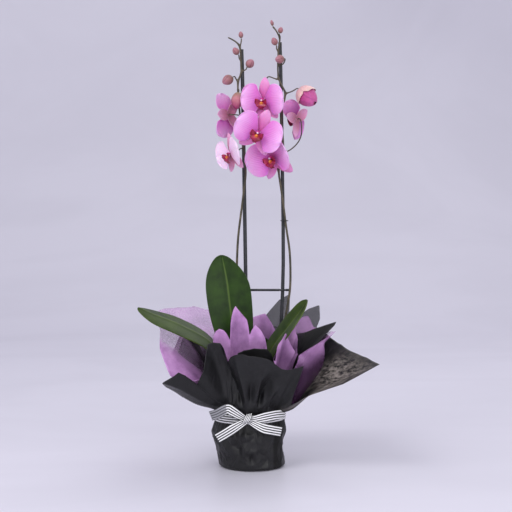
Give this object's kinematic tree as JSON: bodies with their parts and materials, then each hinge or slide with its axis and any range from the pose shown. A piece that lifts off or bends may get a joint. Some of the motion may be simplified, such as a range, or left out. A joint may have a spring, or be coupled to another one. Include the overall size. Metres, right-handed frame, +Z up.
{
  "type": "potted moth orchid in gift wrapping",
  "caption": "Moth orchid with two staked flower spikes and broad leaves in a nursery pot, wrapped in gathered black and lilac sheets tied with a striped ribbon.",
  "frame": {"origin": "middle of the flat bottom of the wrapping", "axes": "+Z up along the pot and stakes, front with the bow and the flower faces towards -Y"},
  "size_m": [0.3685, 0.264, 0.6964],
  "materials": {
    "black_wrap": "matte",
    "lilac_wrap": "matte",
    "ribbon": "satin",
    "pot": "satin",
    "bark": "matte",
    "crown": "satin",
    "leaf": "satin",
    "stake": "satin",
    "stem": "satin",
    "sepal": "matte",
    "petal": "matte",
    "lip": "satin",
    "column": "satin",
    "bud": "matte"
  },
  "bodies": {
    "root": {"wrap_black_outer": "black_wrap", "wrap_lilac_outer": "lilac_wrap", "wrap_black_inner": "black_wrap", "wrap_lilac_inner": "lilac_wrap", "ribbon_band": "ribbon", "ribbon_bow": "ribbon", "nursery_pot": "pot", "bark_and_roots": "bark", "crown": "crown", "leaf_tall": "leaf", "leaf_left": "leaf", "leaf_right": "leaf", "leaf_back": "leaf", "stake_left": "stake", "stake_right": "stake", "cross_brace": "stake", "clip_left": "stake", "clip_right": "stake", "flower_stem_left": "stem", "flower_stem_right": "stem", "flower_1_sepals": "sepal", "flower_1_petal_left": "petal", "flower_1_petal_right": "petal", "flower_1_lip": "lip", "flower_1_column": "column", "flower_2_sepals": "sepal", "flower_2_petal_left": "petal", "flower_2_petal_right": "petal", "flower_2_lip": "lip", "flower_2_column": "column", "flower_3_sepals": "sepal", "flower_3_petal_left": "petal", "flower_3_petal_right": "petal", "flower_3_lip": "lip", "flower_3_column": "column", "flower_4_sepals": "sepal", "flower_4_petal_left": "petal", "flower_4_petal_right": "petal", "flower_4_lip": "lip", "flower_4_column": "column", "flower_5_sepals": "sepal", "flower_5_petal_left": "petal", "flower_5_petal_right": "petal", "flower_5_lip": "lip", "flower_5_column": "column", "flower_6_sepals": "sepal", "flower_6_petal_left": "petal", "flower_6_petal_right": "petal", "flower_6_lip": "lip", "flower_6_column": "column", "bud_left_1": "bud", "bud_left_2": "bud", "bud_left_3": "bud", "bud_left_4": "bud", "bud_left_5": "bud", "bud_right_1": "bud", "bud_right_2": "bud", "bud_right_3": "bud", "bud_right_4": "bud", "flower_opening": "bud"}
  },
  "joints": []
}
